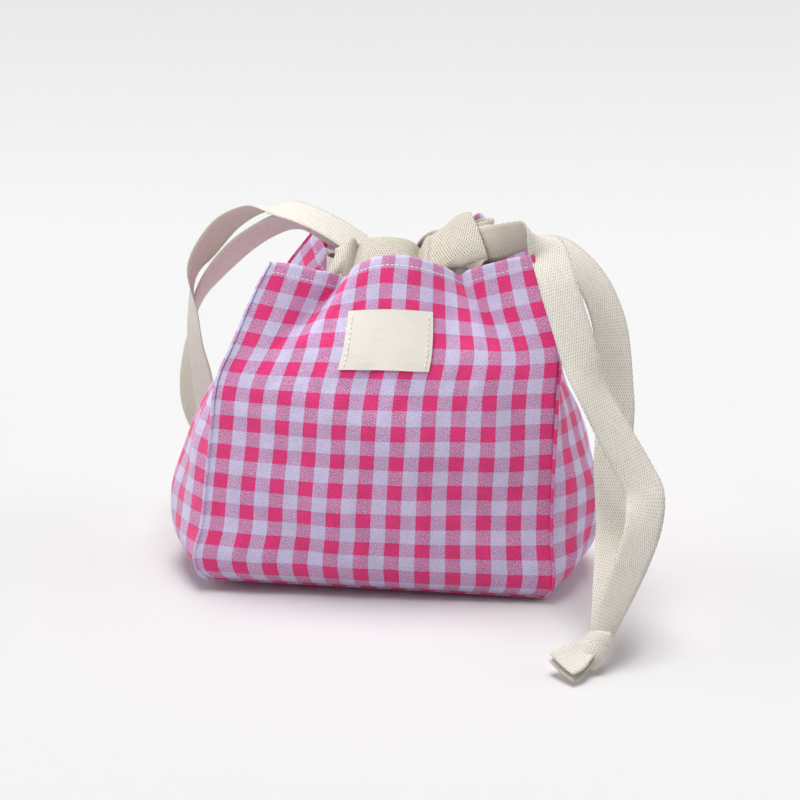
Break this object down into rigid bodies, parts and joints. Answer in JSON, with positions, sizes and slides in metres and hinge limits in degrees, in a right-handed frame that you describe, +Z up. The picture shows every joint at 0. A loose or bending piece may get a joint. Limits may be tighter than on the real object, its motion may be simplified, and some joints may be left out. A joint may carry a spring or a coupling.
{
  "type": "drawstring project bag",
  "caption": "Soft box-shaped drawstring bag with bellied side gussets, a gathered casing on each lip of the mouth and knotted pull tapes.",
  "frame": {"origin": "middle of the base panel, on the surface that the bag stands on", "axes": "+X to the right as seen from the label side, +Y to the back, +Z up"},
  "size_m": [0.3518, 0.3479, 0.255],
  "materials": {
    "gingham_cotton": "plain-woven pink and lavender gingham, matt",
    "gingham_seam": "pinched and edge-stitched gingham seam",
    "lining_cotton": "plain natural cotton",
    "label_cotton": "bare cream cotton",
    "linen": "coarse natural linen",
    "linen_tape": "flat woven linen tape",
    "white_thread": "sewing thread"
  },
  "bodies": {
    "bag": {"lining_front": "lining_cotton", "topstitch_front": "white_thread", "lining_back": "lining_cotton", "topstitch_back": "white_thread", "lining_left": "lining_cotton", "topstitch_left": "white_thread", "lining_right": "lining_cotton", "topstitch_right": "white_thread", "front_panel": "gingham_cotton", "back_panel": "gingham_cotton", "left_gusset": "gingham_cotton", "right_gusset": "gingham_cotton", "base_panel": "gingham_cotton", "base_seam": "gingham_seam", "seam_front_left": "gingham_seam", "seam_front_right": "gingham_seam", "seam_back_left": "gingham_seam", "seam_back_right": "gingham_seam", "lining_base": "lining_cotton", "label": "label_cotton", "label_stitch_left": "white_thread", "label_stitch_right": "white_thread", "right_string_turn": "linen_tape", "left_string_turn": "linen_tape"},
    "front_lip": {"front_casing": "linen", "right_string_front_run": "linen_tape", "left_string_front_run": "linen_tape"},
    "back_lip": {"back_casing": "linen", "right_string_back_run": "linen_tape", "left_string_back_run": "linen_tape"},
    "right_drawstring": {"right_string_front_strand": "linen_tape", "right_string_back_strand": "linen_tape", "right_knot": "linen_tape", "right_tail_front": "linen_tape", "right_tail_back": "linen_tape"},
    "left_drawstring": {"left_string_front_strand": "linen_tape", "left_string_back_strand": "linen_tape", "left_knot": "linen_tape", "left_tail_front": "linen_tape", "left_tail_back": "linen_tape"}
  },
  "joints": [
    {"name": "mouth_front", "type": "hinge", "parent": "bag", "child": "front_lip", "pos_m": [0.02, -0.01737, 0.2294], "axis": [1, 0, 0], "range_deg": [0, 55]},
    {"name": "mouth_back", "type": "hinge", "parent": "bag", "child": "back_lip", "pos_m": [0.02, 0.01737, 0.2294], "axis": [-1, 0, 0], "range_deg": [0, 55]},
    {"name": "right_pull", "type": "slide", "parent": "bag", "child": "right_drawstring", "axis": [1, 0, 0], "range_m": [0, 0.04]},
    {"name": "left_pull", "type": "slide", "parent": "bag", "child": "left_drawstring", "axis": [-1, 0, 0], "range_m": [0, 0.04]}
  ],
  "couplings": [
    {"joint": "mouth_back", "follows": "mouth_front", "ratio": 1}
  ]
}
